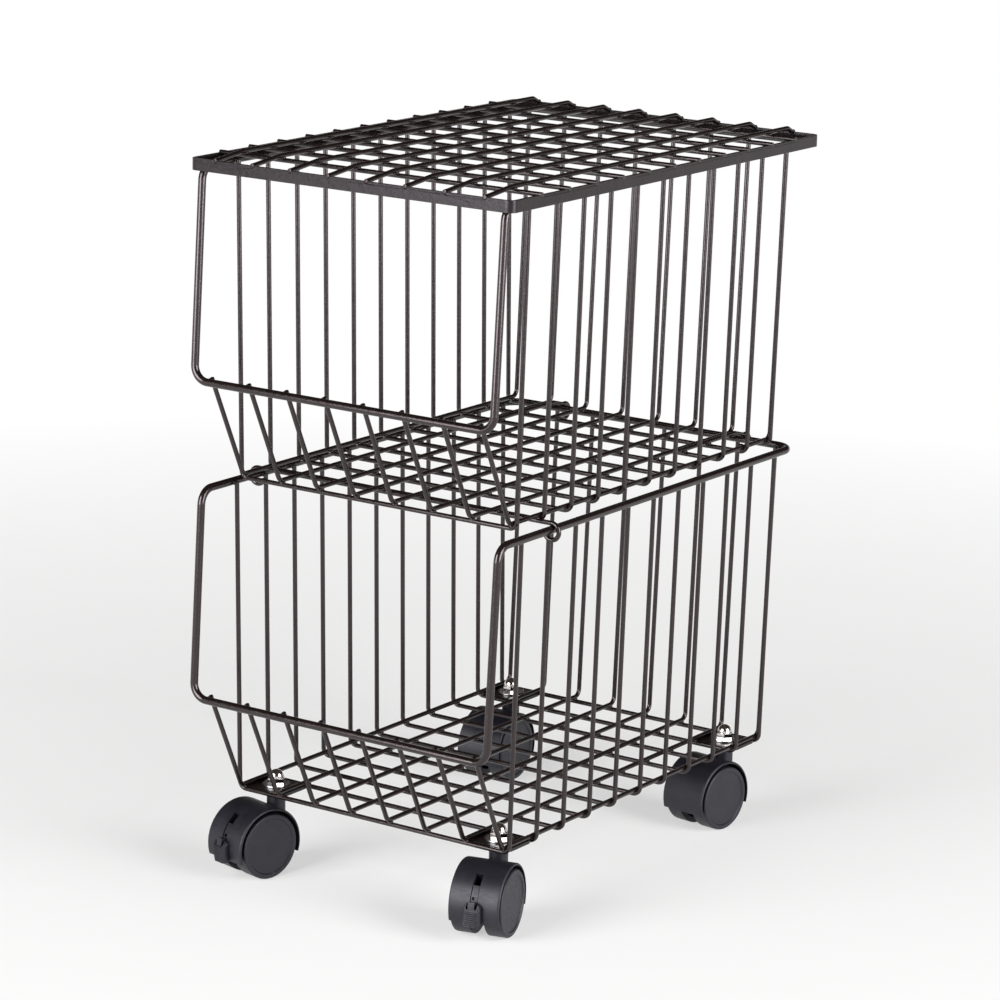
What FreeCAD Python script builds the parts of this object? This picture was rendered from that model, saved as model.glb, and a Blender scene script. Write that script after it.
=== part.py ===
import FreeCAD, Part
import math
import os

V = FreeCAD.Vector

# Wire stock and welds
RIM_WIRE_D = 5.0
MESH_WIRE_D = 3.0
WELD_SINK = 0.05
BESIDE_GAP = 0.05

# Lid: a flat bar bent on edge, with wires let into its top edge
LID_W = 240.0
LID_D = 350.0
LID_BAR_T = 2.0
LID_BAR_H = 7.5
LID_CORNER_R = 5.0
LID_NOTCH_CLEARANCE = 0.05
LID_REST_GAP = 0.3
LID_SIDE_GAP = 3.0
LID_BACK_GAP = 1.5
LID_CROSS_COUNT = 11
LID_LONG_COUNT = 8
LID_CROSS_MARGIN = 30.5
LID_LONG_MARGIN = 20.0
LID_RAMP = 6.0

# One basket, measured on wire centre lines
BASKET_H = 200.0
LIP_DROP = 133.0
LIP_REACH = 3.5
POST_LEAN = 7.5
RIM_FRONT_BEND_R = 10.0
RIM_BACK_BEND_R = 12.0
LIP_BEND_R = 10.0
SIDE_TAPER = 3.9
FLOOR_FRONT_SETBACK = 34.0
FLOOR_BACK_SETBACK = 23.0
CROSS_COUNT = 11
LONG_COUNT = 8
LONG_EDGE_MARGIN = 3.3
MESH_BEND_R = 5.0
WIRE_TIP = 0.2
LIP_TIP = 0.7

# Hook rods that hold the upper basket on the lower rim
HOOK_SLACK = 1.2
HOOK_TURN = 255.0
SIDE_HOOK_BAY = 1
BACK_HOOK_BAY = 1
BACK_HOOK_SPANS = 2.2

# Caster plates and fasteners
PLATE_T = 2.0
PLATE_MARGIN = 0.3
PLATE_CORNER_R = 4.0
STUD_D = 6.0
STUD_HOLE_CLEARANCE = 0.2
STUD_END_GAP = 1.0
THREAD_CLEARANCE = 0.05
WASHER_D = 18.0
WASHER_T = 1.2
NUT_AF = 10.0
NUT_HEX_H = 4.0
NUT_H = 9.3
NUT_DOME_D = 9.5
NUT_CAP_T = 4.0
NUT_BEVEL_ANGLE = 30.0

# Twin-wheel casters
WHEEL_D = 42.6
WHEEL_FACE_SPAN = 34.0
WHEEL_EDGE_R = 1.2
WHEEL_BEAD_W = 2.4
WHEEL_BEAD_H = 0.6
WHEEL_CAP_T = 1.9
WHEEL_RIM_T = 3.5
WHEEL_HUB_R = 5.5
WHEEL_HOLLOW = 6.0
WHEEL_HOOD_GAP = 2.3
WHEEL_PROUD = 0.5
TRAIL = 18.0
HOOD_WALL = 1.4
HOOD_EDGE_R = 1.2
HOOD_CUT_BELOW_AXLE = 7.6
WEB_T = 9.2
WEB_WHEEL_GAP = 0.6
AXLE_D = 5.0
AXLE_RUNNING_FIT = 0.05
AXLE_SEAT_FIT = 0.01
AXLE_END_GAP = 0.3
NECK_D = 12.0
NECK_RISE = 4.65
NECK_GAP = 0.4
PIN_D = 7.0
PIN_RUNNING_FIT = 0.06
PIN_END_GAP = 0.5
PIN_LENGTH = 12.0
COLLAR_D = 11.0
COLLAR_T = 1.5

# Brake lever of the two front casters; angles about the axle, level at 0
LEVER_T = 4.2
LEVER_SIDE_GAP = 0.35
LEVER_HUB_R = 5.4
LEVER_TOP_ANGLE = 39.0
LEVER_LOW_ANGLE = -14.0
LEVER_TRAVEL = 16.0
LEVER_RIM_INSET = 0.5
SLOT_END_CLEARANCE = 2.0
SLOT_RUNOUT = 30.0
LEVER_POCKET_W = 2.8
LEVER_POCKET_DEPTH = 1.6
LEVER_POCKET_TURN = 4.5
GRIP_W = 11.2
GRIP_FACE_W = 8.0
GRIP_GAP = 0.5
GRIP_REACH = 5.0
GRIP_TIP_T = 2.0
GRIP_BEVEL = 2.0
GRIP_TOP_ANGLE = 13.0
GRIP_SHOULDER_ANGLE = 3.5
GRIP_LOW_ANGLE = -16.5
GRIP_CORNER_R = 3.2
GRIP_NOTCH_W = 1.3
GRIP_NOTCH_H = 3.0
GRIP_NECK_ROOT = 2.0
GRIP_NECK_TOP_ANGLE = 15.0
GRIP_NECK_LOW_ANGLE = -12.0
GRIP_NECK_INSET = 0.8
GRIP_RIBS = 8
GRIP_RIB_DEPTH = 0.45

# Swivel heading of each caster at rest, degrees from +X
HEADINGS = {
    "front_left": -102.4,
    "front_right": -75.7,
    "rear_left": -86.6,
    "rear_right": -97.2,
}

# Radii and reaches that follow from the sizes above
RIM_R = RIM_WIRE_D / 2.0
MESH_R = MESH_WIRE_D / 2.0
HOOK_R = RIM_R + HOOK_SLACK + MESH_R
WHEEL_R = WHEEL_D / 2.0
WELL_R = WHEEL_R + WHEEL_HOOD_GAP
HOOD_R = WELL_R + HOOD_WALL
HOOD_W = WHEEL_FACE_SPAN - 2.0 * WHEEL_PROUD
WHEEL_SEAT = WHEEL_FACE_SPAN / 2.0 - WHEEL_BEAD_H - WHEEL_CAP_T
NUT_BORE_DEPTH = NUT_H - NUT_CAP_T
RIM_BACK = LID_D - LID_BAR_T - LID_BACK_GAP - RIM_R
BACK_REACH = max(LID_D, RIM_BACK + HOOK_R + MESH_R)
MID_DEPTH = (BACK_REACH - LIP_REACH - RIM_R) / 2.0

# Heights, built up from the ground
AXLE_Z = WHEEL_R
COLLAR_Z = AXLE_Z + HOOD_R + NECK_RISE + NECK_GAP
PLATE_Z = COLLAR_Z + COLLAR_T
WASHER_Z = PLATE_Z + PLATE_T
NUT_Z = WASHER_Z + WASHER_T
LOWER_FLOOR_Z = WASHER_Z - MESH_R
LOWER_RIM_Z = LOWER_FLOOR_Z + BASKET_H
UPPER_FLOOR_Z = LOWER_RIM_Z + RIM_R + MESH_R
UPPER_RIM_Z = UPPER_FLOOR_Z + BASKET_H
LID_CROSS_Z = UPPER_RIM_Z + RIM_R + LID_REST_GAP + MESH_R
LID_LONG_Z = LID_CROSS_Z + MESH_WIRE_D - WELD_SINK


def depth(y):
    """Depth behind the lid's front face, turned into the rack's own Y."""
    return y - MID_DEPTH


def spread(first, last, count):
    """Evenly spaced positions from first to last."""
    return [first + (last - first) * i / (count - 1.0) for i in range(count)]


# Plan positions of the basket wires
RAIL_X = LID_W / 2.0 - LID_BAR_T - LID_SIDE_GAP - RIM_R
RIM_BACK_Y = depth(RIM_BACK)
LIP_Y = depth(-LIP_REACH)
RIM_FRONT_Y = LIP_Y + POST_LEAN
WALL_TOP_X = RAIL_X - RIM_R - MESH_R + WELD_SINK
WALL_FOOT_X = WALL_TOP_X - SIDE_TAPER
BACK_WALL_TOP_Y = RIM_BACK_Y - RIM_R - MESH_R + WELD_SINK
LONG_X = WALL_FOOT_X - LONG_EDGE_MARGIN
CROSS_Y = spread(depth(FLOOR_FRONT_SETBACK), depth(LID_D - FLOOR_BACK_SETBACK), CROSS_COUNT)
LONG_XS = spread(-LONG_X, LONG_X, LONG_COUNT)
CROSS_PITCH = CROSS_Y[1] - CROSS_Y[0]
LONG_PITCH = LONG_XS[1] - LONG_XS[0]

# Plan positions of the lid wires
LID_X = LID_W / 2.0 - LID_LONG_MARGIN
LID_LONG_XS = spread(-LID_X, LID_X, LID_LONG_COUNT)
LID_CROSS_YS = spread(depth(LID_CROSS_MARGIN), depth(LID_D - LID_CROSS_MARGIN), LID_CROSS_COUNT)

# Casters stand under the middle of the corner bays
BAY_X = LONG_X - LONG_PITCH / 2.0
BAY_FRONT_Y = CROSS_Y[0] + CROSS_PITCH / 2.0
BAY_BACK_Y = CROSS_Y[-1] - CROSS_PITCH / 2.0
CASTER_AT = {
    "front_left": (-BAY_X, BAY_FRONT_Y),
    "front_right": (BAY_X, BAY_FRONT_Y),
    "rear_left": (-BAY_X, BAY_BACK_Y),
    "rear_right": (BAY_X, BAY_BACK_Y),
}


def bent_path(points, bends, closed=False):
    """Straight runs joined by tangent arcs; one bend radius for each inner point."""
    count = len(points)
    corners = range(count) if closed else range(1, count - 1)
    cut = {}
    for k, i in enumerate(corners):
        here = points[i]
        u = (here - points[i - 1]).normalize()
        v = (points[(i + 1) % count] - here).normalize()
        turn = u.getAngle(v)
        reach = bends[k] * math.tan(turn / 2.0)
        inward = (v - u).normalize()
        centre = here + inward * (bends[k] / math.cos(turn / 2.0))
        cut[i] = (here - u * reach, centre - inward * bends[k], here + v * reach)
    edges = []
    runs = count if closed else count - 1
    for i in range(runs):
        j = (i + 1) % count
        start = cut[i][2] if i in cut else points[i]
        end = cut[j][0] if j in cut else points[j]
        edges.append(Part.LineSegment(start, end).toShape())
        if j in cut:
            edges.append(Part.Arc(*cut[j]).toShape())
    return edges


def round_rod(edges, diameter):
    """A round wire along a path of lines and arcs."""
    pieces = []
    for edge in edges:
        start = edge.valueAt(edge.FirstParameter)
        along = edge.tangentAt(edge.FirstParameter)
        disc = Part.Face(Part.Wire(Part.makeCircle(diameter / 2.0, start, along)))
        if isinstance(edge.Curve, Part.Circle):
            turn = math.degrees(edge.LastParameter - edge.FirstParameter)
            pieces.append(disc.revolve(edge.Curve.Center, edge.Curve.Axis, turn))
        else:
            end = edge.valueAt(edge.LastParameter)
            pieces.append(disc.extrude(end - start))
    whole = pieces[0].multiFuse(pieces[1:])
    return whole.Solids[0]


def upright_edges(solid):
    """Edges that run along Z."""
    return [e for e in solid.Edges if abs(e.tangentAt(e.FirstParameter).z) > 0.9]


def save(name, solids):
    """Writes one node; a row of like pieces stays a group of separate solids."""
    shape = solids[0] if len(solids) == 1 else Part.makeCompound(solids)
    shape.exportStep("parts/" + name + ".step")


def rim_wire(rim_z):
    """Closed loop: front lip, leaning posts, side rails and back rail."""
    lip_z = rim_z - LIP_DROP
    points = [
        V(-RAIL_X, LIP_Y, lip_z),
        V(RAIL_X, LIP_Y, lip_z),
        V(RAIL_X, RIM_FRONT_Y, rim_z),
        V(RAIL_X, RIM_BACK_Y, rim_z),
        V(-RAIL_X, RIM_BACK_Y, rim_z),
        V(-RAIL_X, RIM_FRONT_Y, rim_z),
    ]
    bends = [
        LIP_BEND_R,
        LIP_BEND_R,
        RIM_FRONT_BEND_R,
        RIM_BACK_BEND_R,
        RIM_BACK_BEND_R,
        RIM_FRONT_BEND_R,
    ]
    return round_rod(bent_path(points, bends, closed=True), RIM_WIRE_D)


def cross_wire(y, floor_z, rim_z):
    """Upright, floor and upright in one U, welded inside the side rails."""
    slope = SIDE_TAPER / BASKET_H
    top_x = WALL_TOP_X + slope * WIRE_TIP
    top_z = rim_z + WIRE_TIP
    points = [
        V(-top_x, y, top_z),
        V(-WALL_FOOT_X, y, floor_z),
        V(WALL_FOOT_X, y, floor_z),
        V(top_x, y, top_z),
    ]
    return round_rod(bent_path(points, [MESH_BEND_R, MESH_BEND_R]), MESH_WIRE_D)


def long_wire(x, floor_z, rim_z):
    """Front slope from the lip, floor run over the cross wires, and back wall."""
    level = floor_z + MESH_WIRE_D - WELD_SINK
    lip = V(x, LIP_Y, rim_z - LIP_DROP)
    steepness = math.atan2(lip.z - level, CROSS_Y[0] - lip.y)
    foot = V(x, CROSS_Y[0] - MESH_BEND_R * math.tan(steepness / 2.0), level)
    reach = RIM_R + MESH_R - WELD_SINK
    span = foot - lip
    lean = math.atan2(-span.z, span.y) + math.asin(reach / span.Length)
    touch = math.sqrt(span.Length ** 2 - reach ** 2)
    down = V(0, math.cos(lean), -math.sin(lean))
    tip = foot - down * (touch + LIP_TIP)
    heel = V(x, CROSS_Y[-1] + MESH_BEND_R, level)
    rise = V(x, BACK_WALL_TOP_Y, rim_z) - heel
    top = heel + rise * (1.0 + WIRE_TIP / rise.Length)
    return round_rod(bent_path([tip, foot, heel, top], [MESH_BEND_R, MESH_BEND_R]), MESH_WIRE_D)


def hook_end(side, up, top):
    """Arc that runs over a rail, down its far side and back under it."""
    centre = top - up * HOOK_R

    def at(angle):
        a = math.radians(angle)
        return centre + side * (HOOK_R * math.sin(a)) + up * (HOOK_R * math.cos(a))

    return Part.Arc(at(0.0), at(HOOK_TURN / 2.0), at(HOOK_TURN)).toShape()


def side_hook_rod():
    """Cross rod under the upper floor whose two ends curl round the lower side rails."""
    y = CROSS_Y[SIDE_HOOK_BAY] - MESH_WIRE_D - BESIDE_GAP
    up = V(0, 0, 1)
    left = V(-RAIL_X, y, UPPER_FLOOR_Z)
    right = V(RAIL_X, y, UPPER_FLOOR_Z)
    edges = [
        hook_end(V(-1, 0, 0), up, left),
        Part.LineSegment(left, right).toShape(),
        hook_end(V(1, 0, 0), up, right),
    ]
    return round_rod(edges, MESH_WIRE_D)


def back_hook_rod(x):
    """Short rod on the upper floor that drops to the lower back rail and curls round it."""
    level = UPPER_FLOOR_Z + MESH_WIRE_D - WELD_SINK
    start = V(x, CROSS_Y[-1] - BACK_HOOK_SPANS * CROSS_PITCH, level)
    bend = V(x, CROSS_Y[-1] + MESH_WIRE_D, level)
    low = V(x, RIM_BACK_Y - MESH_WIRE_D, UPPER_FLOOR_Z)
    over = V(x, RIM_BACK_Y, UPPER_FLOOR_Z)
    edges = bent_path([start, bend, low, over], [MESH_BEND_R, MESH_BEND_R])
    edges.append(hook_end(V(0, 1, 0), V(0, 0, 1), over))
    return round_rod(edges, MESH_WIRE_D)


def lid_box(inset, corner_r):
    """Block with rounded corners, set in from the lid's outline."""
    base = V(-LID_W / 2.0 + inset, depth(inset), LID_CROSS_Z - LID_BAR_H)
    block = Part.makeBox(LID_W - 2.0 * inset, LID_D - 2.0 * inset, LID_BAR_H, base)
    return block.makeFillet(corner_r, upright_edges(block))


def lid_frame():
    """Flat bar on edge with a half-round notch under every wire end."""
    ring = lid_box(0.0, LID_CORNER_R).cut(lid_box(LID_BAR_T, LID_CORNER_R - LID_BAR_T))
    notch = MESH_R + LID_NOTCH_CLEARANCE
    left = -LID_W / 2.0
    front = depth(0.0)
    cuts = [Part.makeCylinder(notch, LID_W, V(left, y, LID_CROSS_Z), V(1, 0, 0)) for y in LID_CROSS_YS]
    cuts += [Part.makeCylinder(notch, LID_D, V(x, front, LID_CROSS_Z), V(0, 1, 0)) for x in LID_LONG_XS]
    return ring.cut(cuts)


def lid_cross_wire(y):
    """Straight wire lying in the side bars."""
    return Part.makeCylinder(MESH_R, LID_W, V(-LID_W / 2.0, y, LID_CROSS_Z), V(1, 0, 0))


def lid_long_wire(x):
    """Wire over the cross wires, drawn down at both ends into the front and back bars."""
    front = depth(0.0)
    back = depth(LID_D)
    ramp_end = LID_BAR_T + LID_RAMP
    points = [
        V(x, front, LID_CROSS_Z),
        V(x, front + LID_BAR_T, LID_CROSS_Z),
        V(x, front + ramp_end, LID_LONG_Z),
        V(x, back - ramp_end, LID_LONG_Z),
        V(x, back - LID_BAR_T, LID_CROSS_Z),
        V(x, back, LID_CROSS_Z),
    ]
    return round_rod(bent_path(points, [MESH_BEND_R] * 4), MESH_WIRE_D)


def corner_plate(x, y):
    """Plate between two cross wires, welded under the two long wires of a corner bay."""
    w = LONG_PITCH + MESH_WIRE_D + 2.0 * PLATE_MARGIN
    d = CROSS_PITCH - MESH_WIRE_D - 2.0 * BESIDE_GAP
    plate = Part.makeBox(w, d, PLATE_T, V(x - w / 2.0, y - d / 2.0, PLATE_Z))
    plate = plate.makeFillet(PLATE_CORNER_R, upright_edges(plate))
    hole = Part.makeCylinder(STUD_D / 2.0 + STUD_HOLE_CLEARANCE, PLATE_T, V(x, y, PLATE_Z))
    return plate.cut(hole)


def washer(x, y):
    """Wide flat washer on the plate."""
    base = V(x, y, WASHER_Z)
    disc = Part.makeCylinder(WASHER_D / 2.0, WASHER_T, base)
    return disc.cut(Part.makeCylinder(STUD_D / 2.0 + STUD_HOLE_CLEARANCE, WASHER_T, base))


def acorn_nut(x, y):
    """Hexagon base with bevelled corners and a round cap over the stud's end."""
    base = V(x, y, NUT_Z)
    corner_r = NUT_AF / math.sqrt(3.0)
    corners = []
    for i in range(7):
        a = math.radians(60.0 * i)
        corners.append(base + V(corner_r * math.cos(a), corner_r * math.sin(a), 0))
    hexagon = Part.Face(Part.makePolygon(corners)).extrude(V(0, 0, NUT_HEX_H))
    flat_r = NUT_AF / 2.0
    bevel_r = flat_r + NUT_HEX_H / math.tan(math.radians(NUT_BEVEL_ANGLE))
    bevel = Part.makeCone(bevel_r, flat_r, NUT_HEX_H, base)
    dome_r = NUT_DOME_D / 2.0
    dome_h = NUT_H - dome_r
    barrel = Part.makeCylinder(dome_r, dome_h, base)
    cap = Part.makeSphere(dome_r, base + V(0, 0, dome_h), V(0, 0, 1), 0, 90)
    nut = hexagon.common(bevel).fuse([barrel, cap]).removeSplitter()
    return nut.cut(Part.makeCylinder(STUD_D / 2.0 + THREAD_CLEARANCE, NUT_BORE_DEPTH, base))


def caster_stem(x, y):
    """Stud up through the plate, collar under it and swivel pin below."""
    stud_top = NUT_Z + NUT_BORE_DEPTH - STUD_END_GAP
    stud = Part.makeCylinder(STUD_D / 2.0, stud_top - PLATE_Z, V(x, y, PLATE_Z))
    collar = Part.makeCylinder(COLLAR_D / 2.0, COLLAR_T, V(x, y, COLLAR_Z))
    pin = Part.makeCylinder(PIN_D / 2.0, PIN_LENGTH, V(x, y, COLLAR_Z - PIN_LENGTH))
    return stud.fuse([collar, pin]).removeSplitter()


def axle_cylinder(radius, start, length):
    """Cylinder along the axle, in the caster's own frame with the trail along X."""
    return Part.makeCylinder(radius, length, V(TRAIL, start, AXLE_Z), V(0, 1, 0))


def about_axle(radius, angle, y):
    """Point at a radius and an angle round the axle."""
    a = math.radians(angle)
    return V(TRAIL + radius * math.cos(a), y, AXLE_Z + radius * math.sin(a))


def wedge(inner, outer, low, high, width):
    """Ring sector about the axle between two angles, centred on the caster's middle."""
    y = -width / 2.0
    mid = (low + high) / 2.0
    inner_low = about_axle(inner, low, y)
    inner_high = about_axle(inner, high, y)
    outer_low = about_axle(outer, low, y)
    outer_high = about_axle(outer, high, y)
    edges = [
        Part.LineSegment(inner_low, outer_low).toShape(),
        Part.Arc(outer_low, about_axle(outer, mid, y), outer_high).toShape(),
        Part.LineSegment(outer_high, inner_high).toShape(),
        Part.Arc(inner_high, about_axle(inner, mid, y), inner_low).toShape(),
    ]
    return Part.Face(Part.Wire(edges)).extrude(V(0, width, 0))


def hood(braked):
    """Drum over both wheels with a middle web, swivel neck and, if braked, a lever slot."""
    drum = axle_cylinder(HOOD_R, -HOOD_W / 2.0, HOOD_W)
    drum = drum.makeFillet(HOOD_EDGE_R, [e for e in drum.Edges if isinstance(e.Curve, Part.Circle)])
    side = 4.0 * HOOD_R
    corner = V(TRAIL - side / 2.0, -side / 2.0, AXLE_Z - HOOD_CUT_BELOW_AXLE - side)
    below = Part.makeBox(side, side, side, corner)
    neck_top = COLLAR_Z - NECK_GAP
    neck_low = AXLE_Z + HOOD_R / 2.0
    neck = Part.makeCylinder(NECK_D / 2.0, neck_top - neck_low, V(0, 0, neck_low))
    body = drum.cut(below).fuse(neck).removeSplitter()
    pin_low = COLLAR_Z - PIN_LENGTH - PIN_END_GAP
    cuts = [
        axle_cylinder(WELL_R, WEB_T / 2.0, HOOD_W),
        axle_cylinder(WELL_R, -WEB_T / 2.0 - HOOD_W, HOOD_W),
        Part.makeCylinder(PIN_D / 2.0 + PIN_RUNNING_FIT, neck_top - pin_low, V(0, 0, pin_low)),
        axle_cylinder(AXLE_D / 2.0 + AXLE_SEAT_FIT, -WEB_T, 2.0 * WEB_T),
    ]
    if braked:
        slot_w = LEVER_T + 2.0 * LEVER_SIDE_GAP
        hub_r = LEVER_HUB_R + LEVER_SIDE_GAP
        slot_top = LEVER_TOP_ANGLE + LEVER_TRAVEL + SLOT_END_CLEARANCE
        slot_low = LEVER_LOW_ANGLE - SLOT_RUNOUT
        cuts.append(wedge(hub_r / 2.0, HOOD_R + GRIP_REACH, slot_low, slot_top, slot_w))
        cuts.append(axle_cylinder(hub_r, -slot_w / 2.0, slot_w))
    return body.cut(cuts)


def grip_side():
    """The grip's side view: an arc along the hood, thinned towards its top."""
    y = -GRIP_W / 2.0
    inner = HOOD_R + GRIP_GAP
    outer = HOOD_R + GRIP_REACH
    top = about_axle(inner, GRIP_TOP_ANGLE, y)
    tip = about_axle(inner + GRIP_TIP_T, GRIP_TOP_ANGLE, y)
    shoulder = about_axle(outer, GRIP_SHOULDER_ANGLE, y)
    face = about_axle(outer, (GRIP_SHOULDER_ANGLE + GRIP_LOW_ANGLE) / 2.0, y)
    toe = about_axle(outer, GRIP_LOW_ANGLE, y)
    low = about_axle(inner, GRIP_LOW_ANGLE, y)
    back = about_axle(inner, (GRIP_TOP_ANGLE + GRIP_LOW_ANGLE) / 2.0, y)
    outline = [
        Part.LineSegment(top, tip).toShape(),
        Part.LineSegment(tip, shoulder).toShape(),
        Part.Arc(shoulder, face, toe).toShape(),
        Part.LineSegment(toe, low).toShape(),
        Part.Arc(low, back, top).toShape(),
    ]
    return Part.Face(Part.Wire(outline)).extrude(V(0, GRIP_W, 0))


def grip_section():
    """Ring about the axle whose outer edges are bevelled down to the grip's sides."""
    half = GRIP_W / 2.0
    outer = HOOD_R + GRIP_REACH
    corners = [
        V(TRAIL, -half, AXLE_Z),
        V(TRAIL + outer - GRIP_BEVEL, -half, AXLE_Z),
        V(TRAIL + outer, -GRIP_FACE_W / 2.0, AXLE_Z),
        V(TRAIL + outer, GRIP_FACE_W / 2.0, AXLE_Z),
        V(TRAIL + outer - GRIP_BEVEL, half, AXLE_Z),
        V(TRAIL, half, AXLE_Z),
    ]
    section = Part.Face(Part.makePolygon(corners + corners[:1]))
    return section.revolve(V(TRAIL, 0, AXLE_Z), V(0, 1, 0), 360)


def grip():
    """Foot pad of the brake lever: round shoulders, a notch each side of the neck, cross ribs."""
    inner = HOOD_R + GRIP_GAP
    outer = HOOD_R + GRIP_REACH
    top_z = about_axle(inner + GRIP_TIP_T, GRIP_TOP_ANGLE, 0.0).z
    front = Part.makeBox(outer, GRIP_W, outer, V(TRAIL, -GRIP_W / 2.0, top_z - outer))
    top_corners = [e for e in front.Edges if abs(e.tangentAt(e.FirstParameter).x) > 0.9]
    top_corners = [e for e in top_corners if e.CenterOfMass.z > top_z - GRIP_CORNER_R]
    front = front.makeFillet(GRIP_CORNER_R, top_corners)
    pad = grip_side().common(grip_section()).common(front)
    notch_y = LEVER_T / 2.0
    notch_z = top_z - GRIP_NOTCH_H
    cuts = [
        Part.makeBox(outer, GRIP_NOTCH_W, outer, V(TRAIL, notch_y, notch_z)),
        Part.makeBox(outer, GRIP_NOTCH_W, outer, V(TRAIL, -notch_y - GRIP_NOTCH_W, notch_z)),
    ]
    rib_turn = (GRIP_SHOULDER_ANGLE - GRIP_LOW_ANGLE) / GRIP_RIBS
    for i in range(GRIP_RIBS):
        start = about_axle(outer, GRIP_LOW_ANGLE + (i + 0.5) * rib_turn, -GRIP_W / 2.0)
        cuts.append(Part.makeCylinder(GRIP_RIB_DEPTH, GRIP_W, start, V(0, 1, 0)))
    return pad.cut(cuts)


def brake_lever():
    """Arm on the axle that comes out through the slot and carries the grip."""
    hub = axle_cylinder(LEVER_HUB_R, -LEVER_T / 2.0, LEVER_T)
    arm_r = HOOD_R - LEVER_RIM_INSET
    arm = wedge(LEVER_HUB_R / 2.0, arm_r, LEVER_LOW_ANGLE, LEVER_TOP_ANGLE, LEVER_T)
    neck_in = arm_r - GRIP_NECK_ROOT
    neck_out = HOOD_R + GRIP_REACH - GRIP_NECK_INSET
    neck = wedge(neck_in, neck_out, GRIP_NECK_LOW_ANGLE, GRIP_NECK_TOP_ANGLE, LEVER_T)
    pocket_low = GRIP_NECK_TOP_ANGLE + LEVER_POCKET_TURN / 2.0
    pocket_in = arm_r - LEVER_POCKET_DEPTH
    pocket = wedge(pocket_in, HOOD_R, pocket_low, pocket_low + LEVER_POCKET_TURN, LEVER_POCKET_W)
    lever = hub.fuse([arm, neck, grip()])
    bore = axle_cylinder(AXLE_D / 2.0 + AXLE_RUNNING_FIT, -LEVER_T / 2.0, LEVER_T)
    return lever.cut([pocket, bore])


def axle():
    """Pin through the web that carries both wheels."""
    half = WHEEL_SEAT - AXLE_END_GAP
    return axle_cylinder(AXLE_D / 2.0, -half, 2.0 * half)


def wheel(side):
    """Disc wheel: a bead round its face, hollow on the inside, with a blind axle hole in its hub."""
    inner = WEB_T / 2.0 + WEB_WHEEL_GAP
    face = WHEEL_FACE_SPAN / 2.0
    recess = face - WHEEL_BEAD_H
    bore = AXLE_D / 2.0 + AXLE_RUNNING_FIT
    bead_r = WHEEL_R - WHEEL_EDGE_R - WHEEL_BEAD_W
    edge = V(WHEEL_R - WHEEL_EDGE_R, face - WHEEL_EDGE_R, 0)
    round_from = edge + V(WHEEL_EDGE_R, 0, 0)
    round_to = edge + V(0, WHEEL_EDGE_R, 0)
    crest = edge + V(1, 1, 0).normalize() * WHEEL_EDGE_R
    hollow = inner + WHEEL_HOLLOW
    rim_in = WHEEL_R - WHEEL_RIM_T
    outline = [
        round_to,
        V(bead_r + WHEEL_BEAD_H, face, 0),
        V(bead_r, recess, 0),
        V(0, recess, 0),
        V(0, WHEEL_SEAT, 0),
        V(bore, WHEEL_SEAT, 0),
        V(bore, inner, 0),
        V(WHEEL_HUB_R, inner, 0),
        V(WHEEL_HUB_R, hollow, 0),
        V(rim_in, hollow, 0),
        V(rim_in, inner, 0),
        V(WHEEL_R, inner, 0),
        round_from,
    ]
    edges = [Part.LineSegment(a, b).toShape() for a, b in zip(outline, outline[1:])]
    edges.append(Part.Arc(round_from, crest, round_to).toShape())
    disc = Part.Face(Part.Wire(edges)).revolve(V(0, 0, 0), V(0, 1, 0), 360)
    if side < 0:
        disc = disc.mirror(V(0, 0, 0), V(0, 1, 0))
    disc.translate(V(TRAIL, 0, AXLE_Z))
    return disc


def placed(shape, corner):
    """Turns a caster piece to its heading and moves it under its corner."""
    x, y = CASTER_AT[corner]
    shape = shape.copy()
    shape.rotate(V(0, 0, 0), V(0, 0, 1), HEADINGS[corner])
    shape.translate(V(x, y, 0))
    return shape


os.makedirs("parts", exist_ok=True)

# The two baskets
for tier, floor_z, rim_z in (
    ("lower", LOWER_FLOOR_Z, LOWER_RIM_Z),
    ("upper", UPPER_FLOOR_Z, UPPER_RIM_Z),
):
    save(tier + "_rim_wire", [rim_wire(rim_z)])
    save(tier + "_cross_wires", [cross_wire(y, floor_z, rim_z) for y in CROSS_Y])
    save(tier + "_long_wires", [long_wire(x, floor_z, rim_z) for x in LONG_XS])

# Hook rods, each back one on the right-hand side of a floor wire
hook_wires = [LONG_XS[BACK_HOOK_BAY], LONG_XS[-1 - BACK_HOOK_BAY]]
save("side_hook_rod", [side_hook_rod()])
save("back_hook_rods", [back_hook_rod(x + MESH_WIRE_D + BESIDE_GAP) for x in hook_wires])

# Lid
save("lid_frame", [lid_frame()])
save("lid_cross_wires", [lid_cross_wire(y) for y in LID_CROSS_YS])
save("lid_long_wires", [lid_long_wire(x) for x in LID_LONG_XS])

# Plates and fasteners
save("caster_plates", [corner_plate(x, y) for x, y in CASTER_AT.values()])
save("plate_washers", [washer(x, y) for x, y in CASTER_AT.values()])
save("acorn_nuts", [acorn_nut(x, y) for x, y in CASTER_AT.values()])

# Casters, with a brake on the front two
for corner, (x, y) in CASTER_AT.items():
    braked = corner.startswith("front")
    save("caster_stem_" + corner, [caster_stem(x, y)])
    save("caster_hood_" + corner, [placed(hood(braked), corner)])
    save("axle_" + corner, [placed(axle(), corner)])
    save("left_wheel_" + corner, [placed(wheel(-1), corner)])
    save("right_wheel_" + corner, [placed(wheel(1), corner)])
    if braked:
        save("brake_lever_" + corner, [placed(brake_lever(), corner)])
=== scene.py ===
import math

import bmesh
import bpy
from mathutils import Matrix, Vector


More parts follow.
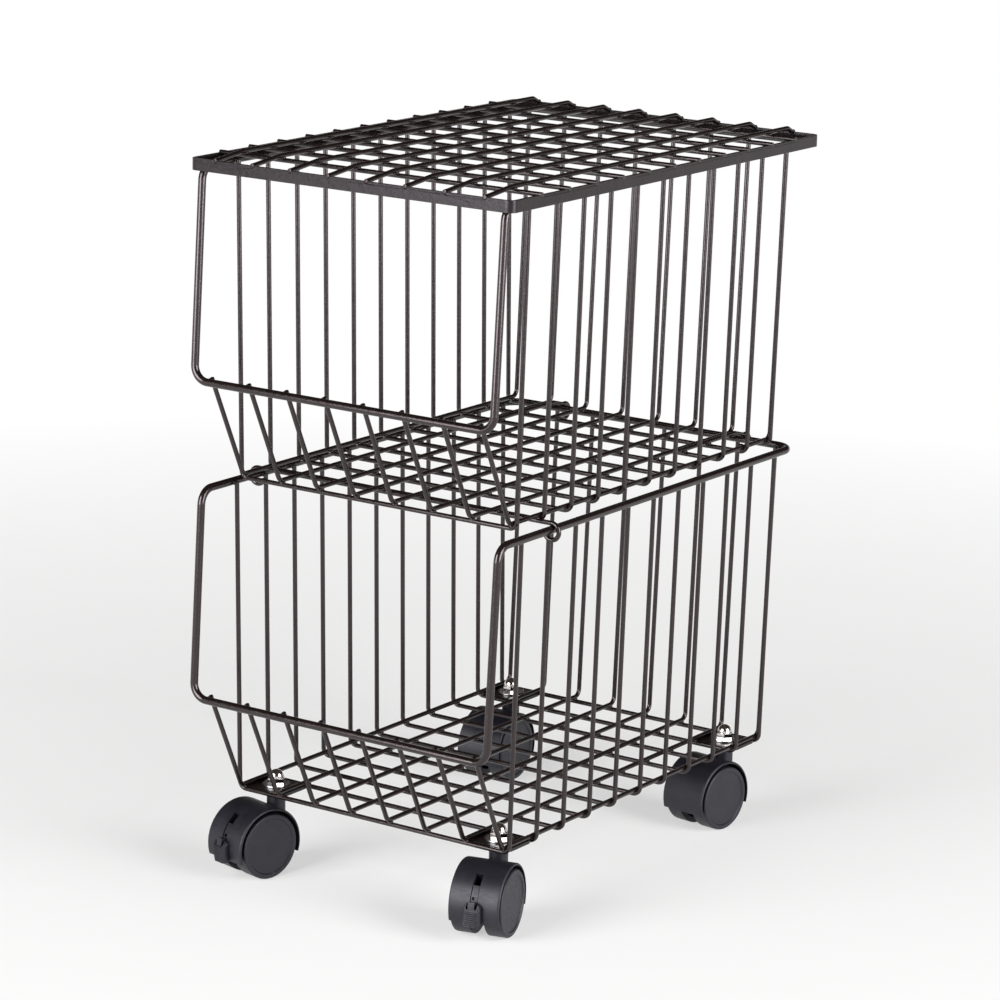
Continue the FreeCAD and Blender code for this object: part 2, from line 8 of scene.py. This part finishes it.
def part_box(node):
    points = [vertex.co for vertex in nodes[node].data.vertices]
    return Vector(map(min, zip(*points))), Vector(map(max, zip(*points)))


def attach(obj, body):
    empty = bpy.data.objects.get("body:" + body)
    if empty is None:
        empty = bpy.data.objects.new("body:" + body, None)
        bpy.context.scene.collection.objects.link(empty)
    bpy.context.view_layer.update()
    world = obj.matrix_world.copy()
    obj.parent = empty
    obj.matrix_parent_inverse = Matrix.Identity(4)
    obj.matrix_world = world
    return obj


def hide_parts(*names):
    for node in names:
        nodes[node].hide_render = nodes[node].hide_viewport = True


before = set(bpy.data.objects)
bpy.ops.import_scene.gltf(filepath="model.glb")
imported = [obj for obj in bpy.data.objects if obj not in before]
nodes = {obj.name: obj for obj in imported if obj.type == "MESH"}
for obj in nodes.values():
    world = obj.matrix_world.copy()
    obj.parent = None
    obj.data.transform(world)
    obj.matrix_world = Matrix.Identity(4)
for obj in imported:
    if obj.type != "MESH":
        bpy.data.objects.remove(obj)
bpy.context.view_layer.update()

# Directions
ACROSS = Vector((1.0, 0.0, 0.0))
ALONG = Vector((0.0, 1.0, 0.0))
UP = Vector((0.0, 0.0, 1.0))

# Wires and welds, with lengths in metres
MESH_R = 0.0015
RIM_R = 0.0025
WELD_REACH = 0.0021
WELD_THICK = 0.0009
RIM_WELD_REACH = 0.0017
RIM_WELD_DROP = 0.0005
WELD_SUBDIVISIONS = 2

# Lid wires, with lengths in metres
LID_BAR_T = 0.002
LID_FRONT_RAMP = 0.026
LID_BACK_RAMP = 0.006
LID_BEND_R = 0.005
LID_BEND_STEPS = 4
WIRE_SIDES = 20

# Softened edges, with lengths in metres and corners in degrees
WIRE_TIP_ROUND = 0.0005
PLATE_EDGE_ROUND = 0.0004
FASTENER_EDGE_ROUND = 0.00025
PLASTIC_EDGE_ROUND = 0.0003
EDGE_STEPS = 2
WIRE_TIP_STEPS = 3
SHARP_CORNER = 50.0
NUT_CORNER = 22.0
SAME_POINT = 1e-6

# Pattern contrast and detail
PATTERN_LOW = 0.3
PATTERN_HIGH = 0.7
SMOOTH_DETAIL = 1.0
PLAIN_DETAIL = 2.0
CLOUD_DETAIL = 3.0

# Pattern scales, in repeats per metre
COAT_CLOUDS = 70.0
COAT_GLOSS_PATCHES = 420.0
COAT_PEEL_SCALE = 260.0
COAT_FINE_PEEL_SCALE = 900.0
PLASTIC_CLOUDS = 90.0
PLASTIC_GLOSS_PATCHES = 500.0
PLATING_CLOUDS = 260.0
PLATING_GLOSS_PATCHES = 700.0
FLOOR_PATCHES = 3.0

# Coat and plastic, with colours in linear light and depths in metres
COAT_DARK = (0.0052, 0.0034, 0.0030)
COAT_LIGHT = (0.0092, 0.0060, 0.0053)
COAT_FINE_PEEL_SHARE = 0.3
COAT_PEEL_STRENGTH = 0.6
PLASTIC_SHINE = 0.45
PLASTIC_SHINE_TINT = (0.93, 0.93, 1.0)
PLASTIC_GRAIN_DEPTH = 0.00004
PLASTIC_GRAIN_STRENGTH = 0.5

# Camera, as the photograph sees the rack
VIEW_AZIMUTH = 34.581
VIEW_ELEVATION = 13.836
VIEW_ROLL = 1.243
VIEW_DISTANCE = 2.50922
VIEW_TARGET = Vector((0.00094, -0.00584, 0.23391))
FOCAL_LENGTH = 141.0
SENSOR = 36.0

# Studio
WHITE = (1.0, 1.0, 1.0)
FLOOR_RADIUS = 14.0
VIEW_REACH = 4.0 * FLOOR_RADIUS
FLOOR_SIDES = 96
FLOOR_DARK = (0.86, 0.86, 0.86)
FLOOR_LIGHT = (0.88, 0.88, 0.88)
FLOOR_ROUGHNESS = 0.9
FLOOR_GLOW = 0.5
FLOOR_WHITE_FROM = 0.25
FLOOR_WHITE_AT = 1.3
HORIZON_LOW = 0.03
HORIZON_HIGH = 0.20
HORIZON_LIGHT = (0.46, 0.47, 0.50)
CEILING_LIGHT = (0.050, 0.039, 0.033)
LAMP_DISTANCE = 2.2
LAMP_WIDTH = 1.3
LAMP_HEIGHT = 1.6
LAMP_POWER = 70.0
LAMP_ELEVATION = 16.0
LEFT_LAMP_AZIMUTH = -14.0
RIGHT_LAMP_AZIMUTH = 88.0


def opaque(colour):
    """A colour with full alpha, as Blender's sockets take it."""
    return (*colour, 1.0)


def colour_mix(tree, factor, first, second):
    """A colour between two others; each is a plain colour or another mix."""
    node = tree.nodes.new("ShaderNodeMix")
    node.data_type = "RGBA"
    tree.links.new(factor, node.inputs["Factor"])
    for name, colour in (("A", first), ("B", second)):
        if isinstance(colour, tuple):
            node.inputs[name].default_value = opaque(colour)
        else:
            tree.links.new(colour, node.inputs[name])
    return node.outputs["Result"]


class Finish:
    """A procedural material under construction, patterned in the part's own coordinates."""

    def __init__(self, name):
        self.material = bpy.data.materials.new(name)
        self.material.use_nodes = True
        self.tree = self.material.node_tree
        self.shader = self.tree.nodes["Principled BSDF"]
        self.place = self.tree.nodes.new("ShaderNodeTexCoord").outputs["Object"]

    def link(self, source, target):
        self.tree.links.new(source, target)

    def noise(self, scale, detail=PLAIN_DETAIL):
        """A cloudy pattern."""
        node = self.tree.nodes.new("ShaderNodeTexNoise")
        node.inputs["Scale"].default_value = scale
        node.inputs["Detail"].default_value = detail
        self.link(self.place, node.inputs["Vector"])
        return node.outputs["Fac"]

    def between(self, factor, low, high, edge_low=PATTERN_LOW, edge_high=PATTERN_HIGH):
        """A number that follows a pattern from low to high."""
        node = self.tree.nodes.new("ShaderNodeMapRange")
        node.inputs["From Min"].default_value = edge_low
        node.inputs["From Max"].default_value = edge_high
        node.inputs["To Min"].default_value = low
        node.inputs["To Max"].default_value = high
        self.link(factor, node.inputs["Value"])
        return node.outputs["Result"]

    def math(self, operation, first, second):
        """Two numbers joined by plain arithmetic."""
        node = self.tree.nodes.new("ShaderNodeMath")
        node.operation = operation
        self.link(first, node.inputs[0])
        self.link(second, node.inputs[1])
        return node.outputs["Value"]

    def tint(self, factor, dark, light):
        """Base colour that follows a pattern from dark to light."""
        colour = colour_mix(self.tree, self.between(factor, 0.0, 1.0), dark, light)
        self.link(colour, self.shader.inputs["Base Color"])

    def rough(self, factor, low, high):
        """Roughness that follows a pattern from low to high."""
        self.link(self.between(factor, low, high), self.shader.inputs["Roughness"])

    def bump(self, height, distance, strength):
        """Relief that follows a pattern."""
        node = self.tree.nodes.new("ShaderNodeBump")
        node.inputs["Distance"].default_value = distance
        node.inputs["Strength"].default_value = strength
        self.link(height, node.inputs["Height"])
        self.link(node.outputs["Normal"], self.shader.inputs["Normal"])

    def set(self, **values):
        """Shader values that are the same all over the surface."""
        for name, value in values.items():
            self.shader.inputs[name.replace("_", " ")].default_value = value


def powder_coat(name, roughness, peel, shine, shine_tint):
    """Dark brown baked powder coat: semi-gloss, with a flowed orange-peel skin over a finer one."""
    finish = Finish(name)
    finish.tint(finish.noise(COAT_CLOUDS, CLOUD_DETAIL), COAT_DARK, COAT_LIGHT)
    finish.rough(finish.noise(COAT_GLOSS_PATCHES), *roughness)
    finish.set(Specular_IOR_Level=shine, Specular_Tint=opaque(shine_tint))
    flow = finish.noise(COAT_PEEL_SCALE, SMOOTH_DETAIL)
    fine = finish.between(finish.noise(COAT_FINE_PEEL_SCALE, SMOOTH_DETAIL), 0.0, COAT_FINE_PEEL_SHARE)
    finish.bump(finish.math("ADD", flow, fine), peel, COAT_PEEL_STRENGTH)
    return finish.material


def moulded_plastic(name, dark, light, roughness, grain):
    """Black moulded plastic with a fine spark-eroded grain."""
    finish = Finish(name)
    finish.tint(finish.noise(PLASTIC_CLOUDS, CLOUD_DETAIL), dark, light)
    finish.rough(finish.noise(PLASTIC_GLOSS_PATCHES), *roughness)
    finish.set(Specular_IOR_Level=PLASTIC_SHINE, Specular_Tint=opaque(PLASTIC_SHINE_TINT))
    finish.bump(finish.noise(grain), PLASTIC_GRAIN_DEPTH, PLASTIC_GRAIN_STRENGTH)
    return finish.material


def plated(name, dark, light, roughness):
    """Bright plated metal with faint cloudiness."""
    finish = Finish(name)
    finish.set(Metallic=1.0)
    finish.tint(finish.noise(PLATING_CLOUDS), dark, light)
    finish.rough(finish.noise(PLATING_GLOSS_PATCHES), *roughness)
    return finish.material


def soften(piece, edge_round, steps, sharpest):
    """Takes the razor edge off a piece's corners."""
    weld = piece.modifiers.new("join", "WELD")
    weld.merge_threshold = SAME_POINT
    bevel = piece.modifiers.new("soft_edges", "BEVEL")
    bevel.width = edge_round
    bevel.segments = steps
    bevel.limit_method = "ANGLE"
    bevel.angle_limit = math.radians(sharpest)
    flats = piece.modifiers.new("flat_faces", "WEIGHTED_NORMAL")
    flats.keep_sharp = True


def dress(node, material, edge_round, steps=EDGE_STEPS, sharpest=SHARP_CORNER):
    """Gives a CAD node its finish and softened edges."""
    piece = nodes[node]
    piece.data.materials.clear()
    piece.data.materials.append(material)
    soften(piece, edge_round, steps, sharpest)


def placed(name, mesh, material):
    """A new object in the scene from a finished mesh."""
    data = bpy.data.meshes.new(name)
    mesh.to_mesh(data)
    mesh.free()
    data.materials.append(material)
    piece = bpy.data.objects.new(name, data)
    bpy.context.scene.collection.objects.link(piece)
    return piece


def islands(node):
    """Boxes of the separate wires in a node, as (low, high) corners."""
    mesh = bmesh.new()
    mesh.from_mesh(nodes[node].data)
    bmesh.ops.remove_doubles(mesh, verts=mesh.verts, dist=SAME_POINT)
    left = set(mesh.verts)
    boxes = []
    while left:
        group = [left.pop()]
        for vert in group:
            for edge in vert.link_edges:
                other = edge.other_vert(vert)
                if other in left:
                    left.remove(other)
                    group.append(other)
        low = Vector([min(v.co[k] for v in group) for k in range(3)])
        high = Vector([max(v.co[k] for v in group) for k in range(3)])
        boxes.append((low, high))
    mesh.free()
    return boxes


def centres(node, axis):
    """Middle of each wire of a node along one axis."""
    return sorted((low[axis] + high[axis]) / 2.0 for low, high in islands(node))


def bent_line(corners, radius):
    """Points along a line whose inner corners are rounded to a radius."""
    line = [corners[0]]
    for before, corner, after in zip(corners, corners[1:], corners[2:]):
        back = (before - corner).normalized()
        ahead = (after - corner).normalized()
        cut = radius / math.tan(back.angle(ahead) / 2.0)
        start = corner + back * cut
        end = corner + ahead * cut
        for step in range(LID_BEND_STEPS + 1):
            t = step / LID_BEND_STEPS
            line.append(start.lerp(corner, t).lerp(corner.lerp(end, t), t))
    line.append(corners[-1])
    return line


def wire_along(mesh, line):
    """A round wire along a line that lies in an upright plane across X."""
    turns = [2.0 * math.pi * n / WIRE_SIDES for n in range(WIRE_SIDES)]
    rings = []
    for k, point in enumerate(line):
        ahead = (line[min(k + 1, len(line) - 1)] - line[max(k - 1, 0)]).normalized()
        over = ACROSS.cross(ahead)
        spokes = [ACROSS * math.cos(a) + over * math.sin(a) for a in turns]
        rings.append([mesh.verts.new(point + spoke * MESH_R) for spoke in spokes])
    for ring, after in zip(rings, rings[1:]):
        for n in range(WIRE_SIDES):
            m = (n + 1) % WIRE_SIDES
            mesh.faces.new((ring[n], after[n], after[m], ring[m]))
    mesh.faces.new(rings[0])
    mesh.faces.new(list(reversed(rings[-1])))


def lid_top_wires(material):
    """The lid's long wires, which run down gently from the first cross wire to the front bar."""
    low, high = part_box("lid_long_wires")
    seat = low.z + MESH_R
    top = high.z - MESH_R
    mesh = bmesh.new()
    for x in centres("lid_long_wires", 0):
        corners = [
            Vector((x, low.y, seat)),
            Vector((x, low.y + LID_BAR_T, seat)),
            Vector((x, low.y + LID_BAR_T + LID_FRONT_RAMP, top)),
            Vector((x, high.y - LID_BAR_T - LID_BACK_RAMP, top)),
            Vector((x, high.y - LID_BAR_T, seat)),
            Vector((x, high.y, seat)),
        ]
        wire_along(mesh, bent_line(corners, LID_BEND_R))
    bmesh.ops.recalc_face_normals(mesh, faces=mesh.faces)
    for face in mesh.faces:
        face.smooth = len(face.verts) == 4
    piece = placed("lid_top_wires", mesh, material)
    soften(piece, WIRE_TIP_ROUND, WIRE_TIP_STEPS, SHARP_CORNER)
    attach(piece, "lid")
    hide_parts("lid_long_wires")


def weld_beads(name, body, spots, material):
    """The weld beads of a basket or the lid in one piece; a spot is place, thin direction and reach."""
    mesh = bmesh.new()
    for place, thin, reach in spots:
        turn = UP.rotation_difference(thin).to_matrix().to_4x4()
        shape = Matrix.Translation(place) @ turn @ Matrix.Diagonal((reach, reach, WELD_THICK, 1.0))
        bmesh.ops.create_icosphere(mesh, subdivisions=WELD_SUBDIVISIONS, radius=1.0, matrix=shape)
    for face in mesh.faces:
        face.smooth = True
    piece = placed(name, mesh, material)
    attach(piece, body)


def basket_welds(tier):
    """Where the wires of one basket are welded to each other and to the rim wire."""
    rim_low, rim_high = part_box(tier + "_rim_wire")
    xs = centres(tier + "_long_wires", 0)
    ys = centres(tier + "_cross_wires", 1)
    floor_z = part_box(tier + "_cross_wires")[0].z + 2.0 * MESH_R
    rail_z = rim_high.z - RIM_R - RIM_WELD_DROP
    rail_x = rim_high.x - 2.0 * RIM_R
    back_y = rim_high.y - 2.0 * RIM_R
    spots = [(Vector((x, y, floor_z)), UP, WELD_REACH) for x in xs for y in ys]
    for x in (-rail_x, rail_x):
        spots += [(Vector((x, y, rail_z)), ACROSS, RIM_WELD_REACH) for y in ys]
    spots += [(Vector((x, back_y, rail_z)), ALONG, RIM_WELD_REACH) for x in xs]
    lip = Vector((0.0, rim_low.y + RIM_R, rim_low.z + RIM_R))
    foot = Vector((0.0, ys[0], floor_z + MESH_R))
    span = foot - lip
    lean = math.atan2(-span.z, span.y) + math.asin((RIM_R + MESH_R) / span.length)
    inward = Vector((0.0, math.sin(lean), math.cos(lean)))
    touch = lip + inward * RIM_R
    spots += [(touch + ACROSS * x, inward, RIM_WELD_REACH) for x in xs]
    return spots


def hook_welds():
    """Where the hook rods are welded to the upper basket's floor wires."""
    floor_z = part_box("upper_cross_wires")[0].z + 2.0 * MESH_R
    rod_y = centres("side_hook_rod", 1)[0]
    spots = [(Vector((x, rod_y, floor_z)), UP, WELD_REACH) for x in centres("upper_long_wires", 0)]
    start_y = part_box("back_hook_rods")[0].y
    for x in centres("back_hook_rods", 0):
        for y in centres("upper_cross_wires", 1):
            if y > start_y:
                spots.append((Vector((x, y, floor_z)), UP, WELD_REACH))
    return spots


def lid_welds():
    """Where the lid's long wires cross its cross wires."""
    touch_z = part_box("lid_cross_wires")[1].z
    xs = centres("lid_long_wires", 0)
    ys = centres("lid_cross_wires", 1)
    return [(Vector((x, y, touch_z)), UP, WELD_REACH) for x in xs for y in ys]


def floor_paint():
    """Pale paint that takes the rack's shadow, running out to plain white away from it."""
    finish = Finish("floor_paint")
    finish.tint(finish.noise(FLOOR_PATCHES), FLOOR_DARK, FLOOR_LIGHT)
    finish.set(Roughness=FLOOR_ROUGHNESS)
    tree = finish.tree
    away = tree.nodes.new("ShaderNodeVectorMath")
    away.operation = "LENGTH"
    finish.link(finish.place, away.inputs[0])
    fade = finish.between(away.outputs["Value"], FLOOR_GLOW, 1.0, FLOOR_WHITE_FROM, FLOOR_WHITE_AT)
    rays = tree.nodes.new("ShaderNodeLightPath").outputs
    seen = finish.math("MAXIMUM", rays["Is Camera Ray"], rays["Is Glossy Ray"])
    seen = finish.math("MAXIMUM", seen, rays["Is Transmission Ray"])
    white = tree.nodes.new("ShaderNodeEmission")
    white.inputs["Color"].default_value = opaque(WHITE)
    mix = tree.nodes.new("ShaderNodeMixShader")
    finish.link(finish.math("MULTIPLY", fade, seen), mix.inputs[0])
    finish.link(finish.shader.outputs["BSDF"], mix.inputs[1])
    finish.link(white.outputs["Emission"], mix.inputs[2])
    finish.link(mix.outputs["Shader"], tree.nodes["Material Output"].inputs["Surface"])
    return finish.material


def floor():
    """Pale studio floor."""
    mesh = bmesh.new()
    bmesh.ops.create_circle(mesh, cap_ends=True, segments=FLOOR_SIDES, radius=FLOOR_RADIUS)
    piece = placed("floor", mesh, floor_paint())


def surroundings():
    """A plain white room, dim and warm overhead, that lights the rack a little and shows in what shines."""
    world = bpy.data.worlds.new("studio")
    world.use_nodes = True
    tree = world.node_tree
    place = tree.nodes.new("ShaderNodeTexCoord")
    split = tree.nodes.new("ShaderNodeSeparateXYZ")
    tree.links.new(place.outputs["Generated"], split.inputs["Vector"])
    height = tree.nodes.new("ShaderNodeMapRange")
    height.interpolation_type = "SMOOTHSTEP"
    height.inputs["From Min"].default_value = HORIZON_LOW
    height.inputs["From Max"].default_value = HORIZON_HIGH
    tree.links.new(split.outputs["Z"], height.inputs["Value"])
    rays = tree.nodes.new("ShaderNodeLightPath").outputs
    seen = tree.nodes.new("ShaderNodeMath")
    seen.operation = "MAXIMUM"
    tree.links.new(rays["Is Glossy Ray"], seen.inputs[0])
    tree.links.new(rays["Is Transmission Ray"], seen.inputs[1])
    horizon = colour_mix(tree, seen.outputs["Value"], HORIZON_LIGHT, WHITE)
    room = colour_mix(tree, height.outputs["Result"], horizon, CEILING_LIGHT)
    light = colour_mix(tree, rays["Is Camera Ray"], room, WHITE)
    tree.links.new(light, tree.nodes["Background"].inputs["Color"])
    bpy.context.scene.world = world


def outward(azimuth, elevation):
    """Unit vector from the rack towards a viewer or lamp; azimuth 0 is straight in front."""
    a = math.radians(azimuth)
    e = math.radians(elevation)
    return Vector((math.sin(a) * math.cos(e), -math.cos(a) * math.cos(e), math.sin(e)))


def softbox(name, azimuth):
    """A large upright panel lamp that faces the rack."""
    data = bpy.data.lights.new(name, "AREA")
    data.shape = "RECTANGLE"
    data.size = LAMP_WIDTH
    data.size_y = LAMP_HEIGHT
    data.energy = LAMP_POWER
    piece = bpy.data.objects.new(name, data)
    away = outward(azimuth, LAMP_ELEVATION)
    piece.location = VIEW_TARGET + away * LAMP_DISTANCE
    piece.rotation_mode = "QUATERNION"
    piece.rotation_quaternion = (-away).to_track_quat("-Z", "Y")
    piece.visible_camera = False
    bpy.context.scene.collection.objects.link(piece)


def camera():
    """Long lens at the photograph's place, with its slight roll."""
    azimuth = math.radians(VIEW_AZIMUTH)
    roll = math.radians(VIEW_ROLL)
    back = outward(VIEW_AZIMUTH, VIEW_ELEVATION)
    level = Vector((math.cos(azimuth), math.sin(azimuth), 0.0))
    above = back.cross(level)
    right = level * math.cos(roll) + above * math.sin(roll)
    up = above * math.cos(roll) - level * math.sin(roll)
    data = bpy.data.cameras.new("camera")
    data.sensor_width = SENSOR
    data.lens = FOCAL_LENGTH
    data.clip_end = VIEW_REACH
    piece = bpy.data.objects.new("camera", data)
    turn = Matrix((right, up, back)).transposed().to_4x4()
    piece.matrix_world = Matrix.Translation(VIEW_TARGET + back * VIEW_DISTANCE) @ turn
    bpy.context.scene.collection.objects.link(piece)
    bpy.context.scene.camera = piece


# Finishes
wire_coat = powder_coat(
    "wire_coat",
    roughness=(0.15, 0.24),
    peel=0.00004,
    shine=0.63,
    shine_tint=(1.0, 0.87, 0.92),
)
bar_coat = powder_coat(
    "bar_coat",
    roughness=(0.24, 0.34),
    peel=0.00010,
    shine=0.36,
    shine_tint=(0.97, 0.91, 1.0),
)
hood_plastic = moulded_plastic(
    "hood_plastic",
    dark=(0.0070, 0.0069, 0.0106),
    light=(0.0104, 0.0103, 0.0152),
    roughness=(0.40, 0.52),
    grain=2200.0,
)
wheel_plastic = moulded_plastic(
    "wheel_plastic",
    dark=(0.0080, 0.0079, 0.0120),
    light=(0.0118, 0.0117, 0.0172),
    roughness=(0.42, 0.56),
    grain=1800.0,
)
nickel = plated("nickel", dark=(0.67, 0.64, 0.61), light=(0.77, 0.74, 0.71), roughness=(0.06, 0.14))
zinc = plated("zinc", dark=(0.50, 0.50, 0.51), light=(0.64, 0.64, 0.65), roughness=(0.20, 0.32))

for node in nodes:
    if "wheel" in node:
        dress(node, wheel_plastic, PLASTIC_EDGE_ROUND)
    elif node.startswith(("caster_hood", "brake_lever")):
        dress(node, hood_plastic, PLASTIC_EDGE_ROUND)
    elif node == "acorn_nuts":
        dress(node, nickel, FASTENER_EDGE_ROUND, sharpest=NUT_CORNER)
    elif node.startswith(("plate_washers", "caster_stem", "axle")):
        dress(node, zinc, FASTENER_EDGE_ROUND)
    elif node in ("caster_plates", "lid_frame"):
        dress(node, bar_coat, PLATE_EDGE_ROUND)
    else:
        dress(node, wire_coat, WIRE_TIP_ROUND, WIRE_TIP_STEPS)

# Lid wires and welds
lid_top_wires(wire_coat)
weld_beads("lower_weld_beads", "rack", basket_welds("lower"), wire_coat)
weld_beads("upper_weld_beads", "rack", basket_welds("upper") + hook_welds(), wire_coat)
weld_beads("lid_weld_beads", "lid", lid_welds(), wire_coat)

# Studio and camera
floor()
surroundings()
softbox("left_softbox", LEFT_LAMP_AZIMUTH)
softbox("right_softbox", RIGHT_LAMP_AZIMUTH)
camera()
bpy.context.scene.view_settings.view_transform = "Standard"
